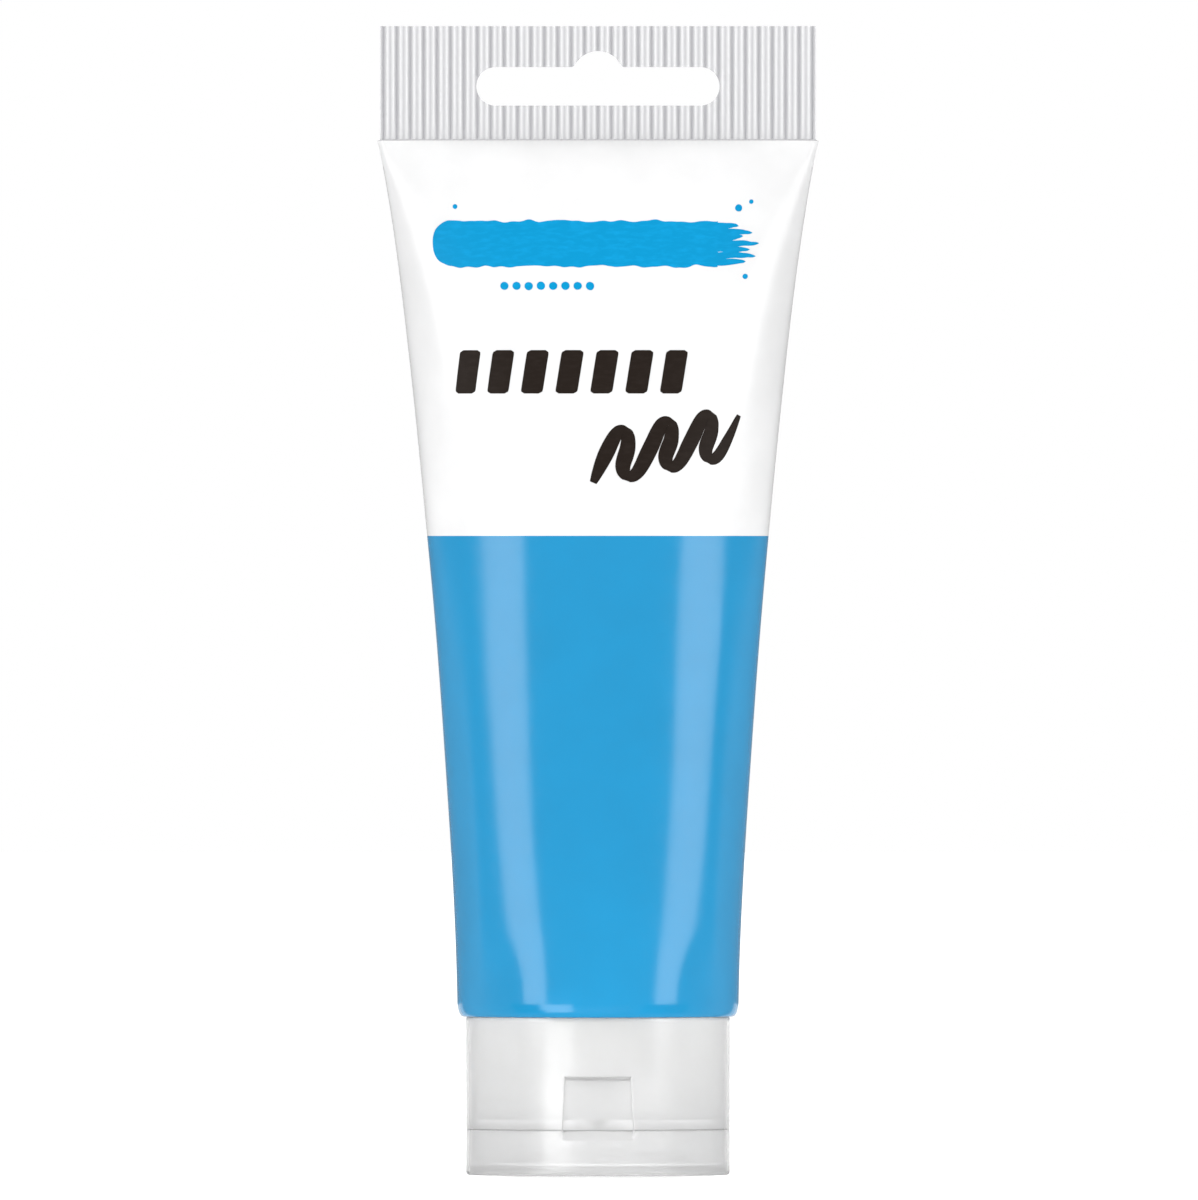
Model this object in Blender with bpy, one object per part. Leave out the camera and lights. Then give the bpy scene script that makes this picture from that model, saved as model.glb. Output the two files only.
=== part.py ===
"""A 75 ml plastic paint tube that stands on its flip-top screw cap.

Frame: origin at the middle of the lid's standing rim, +Z up to the flat end seal,
X along the seal, Y through the tube, with the thumb recess at -Y and the lid's hinge at +Y.
"""
import math

import bmesh
import bpy

# Driving dimensions, in metres
OVERALL_HEIGHT = 0.1431
SLEEVE_RADIUS = 0.0175
SLEEVE_WALL = 0.0005
SEAL_HEIGHT = 0.0143
SEAL_INSET = 0.00035           # the trimmed seal is this much narrower than the sleeve at each end
CAP_RADIUS = 0.01644
CAP_WALL = 0.0012
CAP_HEIGHT = 0.0195
LID_HEIGHT = 0.0056
FIT_GAP = 0.0002               # between lid and cap base, and between the pieces at the neck
LOOSE_GAP = 0.0003

# Sleeve
SHOULDER_Z = 0.01973           # where the sleeve is folded over the shoulder
SEAL_Z = OVERALL_HEIGHT - SEAL_HEIGHT
SLEEVE_GIRTH = 2 * math.pi * SLEEVE_RADIUS
FLAT_HALF_WIDTH = SLEEVE_GIRTH / 4
FLARE_SHARE = 0.9              # of the widening follows the gentle curve, the rest the flick at the seal
FLARE_POWER = 1.45
FLICK_POWER = 12
SEAL_PINCH_POWER = 30          # how fast the two walls come together below the seal
CORNER_IN = 0.0007
CORNER_UP = 0.00175
CAVITY_TOP_Z = SEAL_Z - 0.0012
CAVITY_SLIT = 0.00015
PAINT_TOP_Z = SEAL_Z - 0.006
SLEEVE_SIDES = 48
SLEEVE_LEVELS = 14
PAINT_LEVELS = 10

# Hanging slot in the seal
SLOT_Z = 0.1356
SLOT_RADIUS = 0.0024
SLOT_HALF_WIDTH = 0.01515
HUMP_RADIUS = 0.0032
HUMP_TOP_Z = 0.1400

# Shoulder and threaded neck
SHOULDER_PLATE = 0.0012
WELD_RING_TOP_Z = 0.0245
WELD_RING_INNER = SLEEVE_RADIUS - 0.0019
WELD_RING_FOOT = 0.0004        # the plate's rim slopes out to the weld ring from this far below its top
WELD_RING_STEP = 0.0008        # to this far above it
NECK_END_Z = 0.01395
NECK_BORE = 0.0030
NECK_ROOT = 0.0049
NECK_CREST = 0.0055
PITCH = 0.0025
THREAD_TURNS = 1.5
NECK_THREAD_Z = 0.0150         # centre of the ridge where the thread starts
NECK_THREAD_WIDTHS = (0.0013, 0.0006)      # at the wall and at the crest
THREAD_SUNK = 0.0002           # how far a ridge reaches into the wall behind it

# Membrane on the neck's mouth
FOIL_RADIUS = 0.0048
FOIL_THICKNESS = 0.0002

# Cap base
DECK_Z = LID_HEIGHT + FIT_GAP
DECK_THICKNESS = 0.0012
SEAT_TOP_Z = 0.0133            # shelf that presses on the membrane
COLLAR_OUTER = 0.0072
COLLAR_ROOT = 0.00585
COLLAR_CREST = 0.00515
COLLAR_TOP_Z = 0.0189
COLLAR_THREAD_WIDTHS = (0.0012, 0.0005)
NOZZLE_OUTER = 0.0032
NOZZLE_BORE = 0.0018
SPOUT_END_Z = 0.0046
LOCATING_RING_OUTER = 0.0149
LOCATING_RING_INNER = 0.0143
LOCATING_RING_DROP = 0.0006
RECESS_HALF_WIDTH = 0.00415
RECESS_TOP_Z = 0.01233
RECESS_FLOOR_Y = -0.0154
RECESS_PAD = 0.0010            # thickness left behind the recess
RECESS_PAD_FOOT = 0.0004       # the pad starts this far above the deck's underside

# Lid
RIM_INNER = 0.0141
RIM_CORNER = 0.00045
DISH_RISE = 0.0026
DISH_THICKNESS = 0.0010
DISH_STEPS = 4
LID_FLOOR_Z = 0.0013           # where the lid's wall meets the dish inside
PIN_RADIUS = 0.00145
PIN_TIP_RADIUS = 0.0011
PIN_TOP_Z = 0.0072
PIN_CHAMFER = 0.0008
LIP_HEIGHT = 0.0011
LIP_DEPTH = 0.0007

# Living hinge behind the cap
HINGE_Y = 0.01695
HINGE_Z = LID_HEIGHT + FIT_GAP / 2
FILM_SIZE = (0.0060, 0.0004, 0.0008)
STRAP_SIZE = (0.0020, 0.0004, 0.0030)
STRAP_X = 0.0057
STRAP_Y = 0.01635

ROUND_STEPS = 48
OVERRUN = 0.0001               # how far a boolean tool passes a face that it cuts or joins
OVERCUT = 0.001                # the same outside the piece
THREAD_STEPS_PER_TURN = 24
THREAD_START = math.pi / ROUND_STEPS    # half a step, so that no edge of a ridge meets one of its wall


def material(name, colour, roughness, alpha=1.0):
    """A plain Principled material."""
    mat = bpy.data.materials.new(name)
    mat.use_nodes = True
    shader = mat.node_tree.nodes["Principled BSDF"]
    shader.inputs["Base Color"].default_value = (*colour, 1.0)
    shader.inputs["Roughness"].default_value = roughness
    shader.inputs["Alpha"].default_value = alpha
    mat.diffuse_color = (*colour, alpha)
    return mat


def empty(name, location, parent=None):
    """A bare axis that pieces are parented to."""
    axis = bpy.data.objects.new(name, None)
    bpy.context.scene.collection.objects.link(axis)
    axis.parent = parent
    parent_location = parent.matrix_world.translation if parent else (0, 0, 0)
    axis.location = [place - base for place, base in zip(location, parent_location)]
    bpy.context.view_layer.update()
    return axis


def add_object(name, bm, mat=None, parent=None):
    """Finish a mesh that was built in the part's frame, and hang it on its axis."""
    bmesh.ops.recalc_face_normals(bm, faces=bm.faces)
    mesh = bpy.data.meshes.new(name)
    bm.to_mesh(mesh)
    bm.free()
    if mat:
        mesh.materials.append(mat)
    mesh.shade_smooth()
    mesh.set_sharp_from_angle(angle=math.radians(35))
    obj = bpy.data.objects.new(name, mesh)
    bpy.context.scene.collection.objects.link(obj)
    if parent:
        obj.parent = parent
        obj.location = -parent.matrix_world.translation
    return obj


def combine(target, tool, operation):
    """Boolean one hidden tool into a piece."""
    tool.hide_render = True
    tool.display_type = "WIRE"
    tool.parent = target.parent
    tool.location = target.location
    boolean = target.modifiers.new(f"{operation.lower()}_{tool.name}", "BOOLEAN")
    boolean.operation = operation
    boolean.object = tool
    boolean.solver = "EXACT"


def loft(rings):
    """A closed skin over rings of equal point count, with a face on the first and last."""
    bm = bmesh.new()
    loops = [[bm.verts.new(point) for point in ring] for ring in rings]
    for low, high in zip(loops, loops[1:]):
        for i, corner in enumerate(low):
            after = (i + 1) % len(low)
            bm.faces.new((corner, low[after], high[after], high[i]))
    bm.faces.new(loops[0])
    bm.faces.new(loops[-1])
    return bm


def turned(profile, closed=True):
    """A solid of revolution about Z. An open profile starts and ends on the axis."""
    bm = bmesh.new()
    verts = [bm.verts.new((radius, 0, z)) for radius, z in profile]
    edges = [bm.edges.new(pair) for pair in zip(verts, verts[1:])]
    if closed:
        edges.append(bm.edges.new((verts[-1], verts[0])))
    bmesh.ops.spin(bm, geom=verts + edges, cent=(0, 0, 0), axis=(0, 0, 1),
                   angle=2 * math.pi, steps=ROUND_STEPS, use_duplicate=False)
    bmesh.ops.remove_doubles(bm, verts=bm.verts, dist=1e-7)
    return bm


def extruded(outline, low_y, high_y):
    """A prism along Y over an outline of (x, z) points."""
    return loft([[(x, y, z) for x, z in outline] for y in (low_y, high_y)])


def box(low, high):
    """A rectangular block between two corners."""
    outline = [(low[0], low[2]), (high[0], low[2]), (high[0], high[2]), (low[0], high[2])]
    return extruded(outline, low[1], high[1])


def arc(centre, radius, start, end, steps):
    """Points on a circular arc from start to end, in degrees."""
    angles = [math.radians(start + (end - start) * i / steps) for i in range(steps + 1)]
    return [(centre[0] + radius * math.cos(a), centre[1] + radius * math.sin(a)) for a in angles]


def thread_ridge(name, base_radius, crest_radius, widths, first_z, parent):
    """A right-hand helical ridge, sunk into the wall that it stands on, with run-out ends."""
    base_width, crest_width = widths
    rings = []
    steps = round(THREAD_TURNS * THREAD_STEPS_PER_TURN)
    for i in range(steps + 1):
        turn = i / THREAD_STEPS_PER_TURN
        angle = THREAD_START + 2 * math.pi * turn
        run_in = min(i, steps - i) / (THREAD_STEPS_PER_TURN / 8)
        height = min(1.0, 0.3 + 0.7 * run_in)
        crest = base_radius + (crest_radius - base_radius) * height
        middle = first_z + PITCH * turn
        section = [(base_radius, middle - base_width / 2), (crest, middle - crest_width / 2),
                   (crest, middle + crest_width / 2), (base_radius, middle + base_width / 2)]
        rings.append([(r * math.cos(angle), r * math.sin(angle), z) for r, z in section])
    return add_object(name, loft(rings), parent=parent)


# The sleeve's shape

def rise(z):
    """How far up the sleeve a height is: 0 at the shoulder, 1 at the seal."""
    return (z - SHOULDER_Z) / (SEAL_Z - SHOULDER_Z)


def half_width(z):
    """Half the sleeve's width, which grows from its radius to a quarter of its girth."""
    flare = FLARE_SHARE * rise(z) ** FLARE_POWER + (1 - FLARE_SHARE) * rise(z) ** FLICK_POWER
    return SLEEVE_RADIUS + (FLAT_HALF_WIDTH - SLEEVE_RADIUS) * flare


def half_depth(width):
    """Half the sleeve's depth where it is this wide: the ellipse keeps the sleeve's girth."""
    low, high = 0.0, SLEEVE_RADIUS
    for _ in range(50):
        depth = (low + high) / 2
        h = ((width - depth) / (width + depth)) ** 2
        girth = math.pi * (width + depth) * (1 + 3 * h / (10 + math.sqrt(4 - 3 * h)))
        if girth < SLEEVE_GIRTH:
            low = depth
        else:
            high = depth
    return (low + high) / 2


def sleeve_ring(z, inset=0.0, least_depth=0.0):
    """A cross-section of the sleeve, moved in by inset and kept at least so deep at its ends."""
    width = half_width(z)
    depth = half_depth(width) - inset
    ring = []
    for i in range(SLEEVE_SIDES):
        angle = 2 * math.pi * (i + 0.5) / SLEEVE_SIDES
        y = math.copysign(math.hypot(depth * math.sin(angle), least_depth), math.sin(angle))
        ring.append(((width - inset) * math.cos(angle), y, z))
    return ring


def flat_ring(z, width, depth):
    """A cross-section of the pressed seal."""
    ring = []
    for i in range(SLEEVE_SIDES):
        angle = 2 * math.pi * (i + 0.5) / SLEEVE_SIDES
        ring.append((width * math.cos(angle), math.copysign(depth, math.sin(angle)), z))
    return ring


def round_ring(radius, z):
    """A circular cross-section with the sleeve's point count."""
    angles = [2 * math.pi * (i + 0.5) / SLEEVE_SIDES for i in range(SLEEVE_SIDES)]
    return [(radius * math.cos(a), radius * math.sin(a), z) for a in angles]


def levels(low, high, count):
    """Evenly spread heights from low to high, closer together towards high."""
    return [high - (high - low) * (1 - i / count) ** 1.4 for i in range(count + 1)]


def make_sleeve(parent, mat):
    corner_z = SHOULDER_Z + CORNER_UP
    corner = [(SLEEVE_RADIUS - CORNER_IN * (1 - math.cos(math.radians(a))),
               corner_z - CORNER_UP * math.sin(math.radians(a))) for a in (90, 60, 30)]
    cavity_top = flat_ring(CAVITY_TOP_Z, half_width(CAVITY_TOP_Z) - 2 * SLEEVE_WALL, CAVITY_SLIT)
    inside = [sleeve_ring(z, SLEEVE_WALL)
              for z in reversed(levels(corner_z, CAVITY_TOP_Z - 2 * SLEEVE_WALL, SLEEVE_LEVELS))]
    inner_corner = round_ring(SLEEVE_RADIUS - CORNER_IN - SLEEVE_WALL, SHOULDER_Z)
    outer_corner = [round_ring(radius, z) for radius, z in corner]
    outside = [sleeve_ring(z, 0.0, SLEEVE_WALL * rise(z) ** SEAL_PINCH_POWER)
               for z in levels(corner_z, SEAL_Z, SLEEVE_LEVELS)]
    seal_width = FLAT_HALF_WIDTH - SEAL_INSET
    seal = [flat_ring(SEAL_Z + SEAL_INSET, seal_width, SLEEVE_WALL),
            flat_ring(OVERALL_HEIGHT, seal_width, SLEEVE_WALL)]
    rings = [cavity_top] + inside + [inner_corner] + outer_corner + outside + seal
    sleeve = add_object("sleeve", loft(rings), mat, parent)

    end_x = SLOT_HALF_WIDTH - SLOT_RADIUS
    hump_z = HUMP_TOP_Z - HUMP_RADIUS
    hump_angle = math.degrees(math.asin((SLOT_Z + SLOT_RADIUS - hump_z) / HUMP_RADIUS))
    outline = (arc((end_x, SLOT_Z), SLOT_RADIUS, -90, 90, 10)
               + arc((0, hump_z), HUMP_RADIUS, hump_angle, 180 - hump_angle, 12)
               + arc((-end_x, SLOT_Z), SLOT_RADIUS, 90, 270, 10))
    slot = add_object("hang_slot_cutter", extruded(outline, -SLOT_RADIUS, SLOT_RADIUS))
    combine(sleeve, slot, "DIFFERENCE")


def make_paint(parent, mat):
    """The paint fills the sleeve, the shoulder and the neck."""
    neck_radius = NECK_BORE - LOOSE_GAP
    floor_z = SHOULDER_Z + SHOULDER_PLATE + LOOSE_GAP
    ring_radius = WELD_RING_INNER - LOOSE_GAP
    body_z = WELD_RING_TOP_Z + LOOSE_GAP
    rings = [round_ring(neck_radius, NECK_END_Z + LOOSE_GAP), round_ring(neck_radius, floor_z),
             round_ring(ring_radius, floor_z), round_ring(ring_radius, body_z)]
    rings += [sleeve_ring(z, SLEEVE_WALL + LOOSE_GAP) for z in levels(body_z, PAINT_TOP_Z, PAINT_LEVELS)]
    add_object("paint_fill", loft(rings), mat, parent)


def make_shoulder(parent, mat):
    plate_radius = SLEEVE_RADIUS - CORNER_IN - SLEEVE_WALL - FIT_GAP
    ring_outer = SLEEVE_RADIUS - SLEEVE_WALL - LOOSE_GAP
    plate_top = SHOULDER_Z + SHOULDER_PLATE
    profile = [(NECK_BORE, NECK_END_Z), (NECK_ROOT, NECK_END_Z), (NECK_ROOT, SHOULDER_Z),
               (plate_radius, SHOULDER_Z), (plate_radius, plate_top - WELD_RING_FOOT),
               (ring_outer, plate_top + WELD_RING_STEP), (ring_outer, WELD_RING_TOP_Z),
               (WELD_RING_INNER, WELD_RING_TOP_Z), (WELD_RING_INNER, plate_top),
               (NECK_BORE, plate_top)]
    shoulder = add_object("shoulder", turned(profile), mat, parent)
    ridge = thread_ridge("neck_thread", NECK_ROOT - THREAD_SUNK, NECK_CREST, NECK_THREAD_WIDTHS,
                         NECK_THREAD_Z, parent)
    combine(shoulder, ridge, "UNION")


def make_foil(parent, mat):
    top_z = NECK_END_Z - FIT_GAP
    bottom_z = top_z - FOIL_THICKNESS
    profile = [(0, bottom_z), (FOIL_RADIUS, bottom_z), (FOIL_RADIUS, top_z), (0, top_z)]
    add_object("foil_seal", turned(profile, closed=False), mat, parent)


def make_cap_base(parent, mat):
    inner = CAP_RADIUS - CAP_WALL
    deck_top = DECK_Z + DECK_THICKNESS
    ring_bottom = DECK_Z - LOCATING_RING_DROP
    shelf_z = SEAT_TOP_Z - DECK_THICKNESS
    profile = [(NOZZLE_BORE, SPOUT_END_Z), (NOZZLE_OUTER, SPOUT_END_Z), (NOZZLE_OUTER, DECK_Z),
               (LOCATING_RING_INNER, DECK_Z), (LOCATING_RING_INNER, ring_bottom),
               (LOCATING_RING_OUTER, ring_bottom), (LOCATING_RING_OUTER, DECK_Z),
               (CAP_RADIUS, DECK_Z), (CAP_RADIUS, CAP_HEIGHT), (inner, CAP_HEIGHT),
               (inner, deck_top), (NOZZLE_OUTER, deck_top), (NOZZLE_OUTER, shelf_z),
               (COLLAR_OUTER, shelf_z), (COLLAR_OUTER, COLLAR_TOP_Z),
               (COLLAR_ROOT, COLLAR_TOP_Z), (COLLAR_ROOT, SEAT_TOP_Z), (NOZZLE_BORE, SEAT_TOP_Z)]
    base = add_object("cap_base", turned(profile), mat, parent)
    ridge = thread_ridge("collar_thread", COLLAR_ROOT + THREAD_SUNK, COLLAR_CREST,
                         COLLAR_THREAD_WIDTHS, NECK_THREAD_Z - PITCH / 2, parent)
    combine(base, ridge, "UNION")
    pad_y = RECESS_FLOOR_Y + RECESS_PAD
    pad = add_object("recess_pad", box(
        (-RECESS_HALF_WIDTH - RECESS_PAD, RECESS_FLOOR_Y - OVERRUN, DECK_Z + RECESS_PAD_FOOT),
        (RECESS_HALF_WIDTH + RECESS_PAD, pad_y, RECESS_TOP_Z + RECESS_PAD)))
    combine(base, pad, "UNION")
    recess = add_object("thumb_recess_cutter", box(
        (-RECESS_HALF_WIDTH, -CAP_RADIUS - OVERCUT, DECK_Z - OVERCUT),
        (RECESS_HALF_WIDTH, RECESS_FLOOR_Y, RECESS_TOP_Z)))
    combine(base, recess, "DIFFERENCE")


def make_lid(parent, mat):
    inner = CAP_RADIUS - CAP_WALL
    corner = arc((CAP_RADIUS - RIM_CORNER, RIM_CORNER), RIM_CORNER, -90, 0, 3)
    radii = [RIM_INNER * i / DISH_STEPS for i in range(DISH_STEPS + 1)]
    dish = [(r, DISH_RISE * (1 - (r / RIM_INNER) ** 2)) for r in radii]
    dish_inside = [(r, z + DISH_THICKNESS) for r, z in reversed(dish[1:])]
    pin_foot = DISH_RISE * (1 - (PIN_RADIUS / RIM_INNER) ** 2) + DISH_THICKNESS
    profile = (dish + corner + [(CAP_RADIUS, LID_HEIGHT), (inner, LID_HEIGHT)]
               + [(inner, LID_FLOOR_Z)] + dish_inside
               + [(PIN_RADIUS, pin_foot), (PIN_RADIUS, PIN_TOP_Z - PIN_CHAMFER),
                  (PIN_TIP_RADIUS, PIN_TOP_Z), (0, PIN_TOP_Z)])
    lid = add_object("lid", turned(profile, closed=False), mat, parent)
    lip_top = LID_HEIGHT + OVERRUN
    lip_y = -CAP_RADIUS + LIP_DEPTH
    outside_y = -CAP_RADIUS - OVERCUT
    wedge = [(outside_y, LID_HEIGHT - LIP_HEIGHT), (-CAP_RADIUS, LID_HEIGHT - LIP_HEIGHT),
             (lip_y, lip_top), (outside_y, lip_top)]
    rings = [[(x, y, z) for y, z in wedge] for x in (-RECESS_HALF_WIDTH, RECESS_HALF_WIDTH)]
    cutter = add_object("lid_lip_cutter", loft(rings))
    combine(lid, cutter, "DIFFERENCE")


def make_hinge(parent, mat):
    """The middle film on the hinge axis, and the two straps that snap the lid open or shut."""
    webs = {"hinge_film": ((0, HINGE_Y), FILM_SIZE),
            "spring_strap_left": ((-STRAP_X, STRAP_Y), STRAP_SIZE),
            "spring_strap_right": ((STRAP_X, STRAP_Y), STRAP_SIZE)}
    for name, ((x, y), size) in webs.items():
        low = (x - size[0] / 2, y - size[1] / 2, HINGE_Z - size[2] / 2)
        high = (x + size[0] / 2, y + size[1] / 2, HINGE_Z + size[2] / 2)
        add_object(name, box(low, high), mat, parent)


def main():
    for obj in list(bpy.data.objects):
        bpy.data.objects.remove(obj)
    blue_film = material("sleeve_film", (0.04, 0.36, 0.67), 0.35)
    neck_plastic = material("neck_plastic", (0.80, 0.78, 0.62), 0.4)
    foil = material("foil", (0.75, 0.75, 0.76), 0.3)
    paint = material("paint", (0.02, 0.25, 0.60), 0.5)
    clear_plastic = material("cap_plastic", (0.75, 0.76, 0.77), 0.3)

    tube_axis = empty("tube_axis", (0, 0, 0))
    cap_axis = empty("cap_axis", (0, 0, 0), tube_axis)
    lid_axis = empty("lid_axis", (0, HINGE_Y, HINGE_Z), cap_axis)
    make_sleeve(tube_axis, blue_film)
    make_paint(tube_axis, paint)
    make_shoulder(tube_axis, neck_plastic)
    make_foil(cap_axis, foil)
    make_cap_base(cap_axis, clear_plastic)
    make_hinge(cap_axis, clear_plastic)
    make_lid(lid_axis, clear_plastic)


main()
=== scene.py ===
"""The looks of the plastic paint tube that stands on its flip-top screw cap.

Everything is in metres in the CAD frame: origin at the middle of the lid's standing rim, +Z up to
the flat end seal, X along the seal, the thumb recess at -Y and the lid's hinge at +Y.
"""
import math
from bisect import bisect_right

import bmesh
import bpy
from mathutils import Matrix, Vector, noise


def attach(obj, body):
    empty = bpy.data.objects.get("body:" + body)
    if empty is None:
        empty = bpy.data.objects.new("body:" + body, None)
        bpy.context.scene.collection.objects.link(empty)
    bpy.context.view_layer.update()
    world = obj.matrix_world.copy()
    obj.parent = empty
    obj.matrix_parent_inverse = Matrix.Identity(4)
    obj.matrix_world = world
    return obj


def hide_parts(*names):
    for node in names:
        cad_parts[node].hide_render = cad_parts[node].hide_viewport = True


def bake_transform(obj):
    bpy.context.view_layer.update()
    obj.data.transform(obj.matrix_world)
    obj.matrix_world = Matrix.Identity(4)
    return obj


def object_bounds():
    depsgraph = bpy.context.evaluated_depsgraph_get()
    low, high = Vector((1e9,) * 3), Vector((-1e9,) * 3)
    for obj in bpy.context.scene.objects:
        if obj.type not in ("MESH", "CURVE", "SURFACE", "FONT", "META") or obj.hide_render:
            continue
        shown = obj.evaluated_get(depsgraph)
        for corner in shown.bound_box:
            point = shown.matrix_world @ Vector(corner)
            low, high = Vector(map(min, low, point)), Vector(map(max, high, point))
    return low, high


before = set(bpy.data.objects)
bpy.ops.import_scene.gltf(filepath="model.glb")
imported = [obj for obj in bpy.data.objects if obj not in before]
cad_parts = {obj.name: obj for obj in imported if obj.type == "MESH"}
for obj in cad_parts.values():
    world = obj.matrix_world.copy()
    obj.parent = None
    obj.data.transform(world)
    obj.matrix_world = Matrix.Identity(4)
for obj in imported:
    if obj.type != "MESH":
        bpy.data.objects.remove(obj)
cad_low, cad_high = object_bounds()

# The CAD's own dimensions
OVERALL_HEIGHT = cad_high.z
SLEEVE_RADIUS = 0.0175
SLEEVE_WALL = 0.0005
SHOULDER_Z = 0.01973
SEAL_Z = 0.1288
SEAL_INSET = 0.00035
SLEEVE_GIRTH = 2 * math.pi * SLEEVE_RADIUS
FLAT_HALF_WIDTH = SLEEVE_GIRTH / 4
CORNER_IN = 0.0007
CORNER_UP = 0.00175
SLOT_Z = 0.1356
SLOT_RADIUS = 0.0024
SLOT_HALF_WIDTH = 0.01515
HUMP_RADIUS = 0.0032
HUMP_TOP_Z = 0.1400
NECK_END_Z = 0.01395
NECK_BORE = 0.0030
NECK_ROOT = 0.0049
NECK_CREST = 0.0055
PITCH = 0.0025
NECK_THREAD_Z = 0.0150
THREAD_TURNS = 1.5
WELD_TOP_Z = 0.0245
FOIL_TOP_Z = 0.01375
FOIL_BOTTOM_Z = 0.01355
FOIL_RADIUS = 0.0048
CAP_RADIUS = 0.01644
CAP_INNER = 0.01524
CAP_TOP_Z = 0.01972
DECK_Z = 0.00572
DECK_TOP_Z = 0.0070
COLLAR_ROOT = 0.00585
COLLAR_THREAD_DEPTH = 0.0007
LID_TOP_Z = 0.00568
LID_FLOOR = 0.0010
DISH_RADIUS = 0.0141
DISH_HEIGHT = 0.0026
PIN_RADIUS = 0.00145
PIN_TOP_Z = 0.0072
RECESS_TOP_Z = 0.01233
RECESS_FLOOR = 0.0154
RECESS_PAD = 0.0144
HINGE_Y = 0.01695
HINGE_Z = 0.0057

# What the looks add
COLOUR_Z = 0.0796              # where the printed colour ends
RIBS = 65
RIB_DEPTH = 0.00032
SEAL_HALF_THICKNESS = 0.00034  # halfway up the ribs
RELIEF = 0.00006               # unevenness of the soft wall
INK = 0.00003                  # thickness of the print
CATCH_Z = RECESS_TOP_Z - 0.0004      # above this the recess has a deeper groove
CATCH_FLOOR = 0.0151
CATCH_STEEPER = 1.3
NOTCH_HALF = 0.00442           # half the width of the notch in the lid, under the recess
SLEEVE_SIDES = 192
BULGE_STEPS = 120
ROOM_LIGHT = 0.95
BACK_LIGHT = 0.30


# ---------------------------------------------------------------- meshes

def make_object(name, verts, faces, sharp=35.0):
    """A smooth-shaded mesh object in the row frame."""
    mesh = bpy.data.meshes.new(name)
    mesh.from_pydata(verts, [], faces)
    bm = bmesh.new()
    bm.from_mesh(mesh)
    bmesh.ops.remove_doubles(bm, verts=bm.verts, dist=1e-8)
    bmesh.ops.recalc_face_normals(bm, faces=bm.faces)
    bm.to_mesh(mesh)
    bm.free()
    mesh.shade_smooth()
    mesh.set_sharp_from_angle(angle=math.radians(sharp))
    obj = bpy.data.objects.new(name, mesh)
    bpy.context.scene.collection.objects.link(obj)
    return obj


def ring_faces(count, rings, wrap):
    """Quads between successive rings; wrap joins the last ring to the first."""
    faces = []
    for j in range(rings if wrap else rings - 1):
        k = (j + 1) % rings
        for i in range(count):
            n = (i + 1) % count
            faces.append((j * count + i, j * count + n, k * count + n, k * count + i))
    return faces


def grid_slab(name, top, bottom, sharp=35.0):
    """A closed thin solid between two equal grids of points, as rows of points."""
    rows, columns = len(top), len(top[0])
    verts = [p for row in top for p in row] + [p for row in bottom for p in row]
    shift = rows * columns
    faces = []
    for r in range(rows - 1):
        for c in range(columns - 1):
            a = r * columns + c
            quad = (a, a + 1, a + columns + 1, a + columns)
            faces.append(quad)
            faces.append(tuple(shift + v for v in reversed(quad)))
    border = ([c for c in range(columns)]
              + [r * columns + columns - 1 for r in range(1, rows)]
              + [(rows - 1) * columns + c for c in range(columns - 2, -1, -1)]
              + [r * columns for r in range(rows - 2, 0, -1)])
    for a, b in zip(border, border[1:] + border[:1]):
        faces.append((a, b, shift + b, shift + a))
    return make_object(name, verts, faces, sharp)


def join(name, pieces):
    """Several mesh objects as one."""
    verts, faces = [], []
    for obj in pieces:
        base = len(verts)
        verts += [tuple(v.co) for v in obj.data.vertices]
        faces += [tuple(base + v for v in f.vertices) for f in obj.data.polygons]
        bpy.data.objects.remove(obj)
    return make_object(name, verts, faces)


def arc(centre, radius, start, end, steps):
    """Points on a circular arc from start to end, in degrees."""
    angles = [math.radians(start + (end - start) * i / steps) for i in range(steps + 1)]
    return [(centre[0] + radius * math.cos(a), centre[1] + radius * math.sin(a)) for a in angles]


def spread(low, high, count):
    """count + 1 evenly spaced numbers from low to high."""
    return [low + (high - low) * i / count for i in range(count + 1)]


def clamp(value):
    """The value, kept between 0 and 1."""
    return min(1.0, max(0.0, value))


def ease(value):
    """A smooth step from 0 to 1."""
    value = clamp(value)
    return value * value * (3 - 2 * value)


def shell(name, rings):
    """A closed skin over rings of the sleeve's kind, closed from front to back at both ends."""
    count = len(rings[0])
    faces = ring_faces(count, len(rings), False) + end_faces(0, count)
    faces += end_faces((len(rings) - 1) * count, count)
    return make_object(name, [p for ring in rings for p in ring], faces, 50)


def end_faces(start, count):
    """Faces that close a ring of the sleeve from front to back."""
    half = count // 2
    faces = [(start, start + 1, start + count - 1),
             (start + half - 1, start + half, start + half + 1)]
    return faces + [(start + i, start + i + 1, start + count - i - 1, start + count - i)
                    for i in range(1, half - 1)]


def round_ring(radius, z):
    """A level circle of points, from +X round by +Y."""
    angles = [2 * math.pi * i / SLEEVE_SIDES for i in range(SLEEVE_SIDES)]
    return [(radius * math.cos(a), radius * math.sin(a), z) for a in angles]


# ---------------------------------------------------------------- sleeve

def rise(z):
    """How far up the sleeve this is, from 0 at the shoulder to 1 at the seal."""
    return clamp((z - SHOULDER_Z) / (SEAL_Z - SHOULDER_Z))


def half_width(z):
    """Half the sleeve's width, which grows faster towards the seal."""
    flare = 0.9 * rise(z) ** 1.45 + 0.1 * rise(z) ** 12
    return SLEEVE_RADIUS + (FLAT_HALF_WIDTH - SLEEVE_RADIUS) * flare


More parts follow.
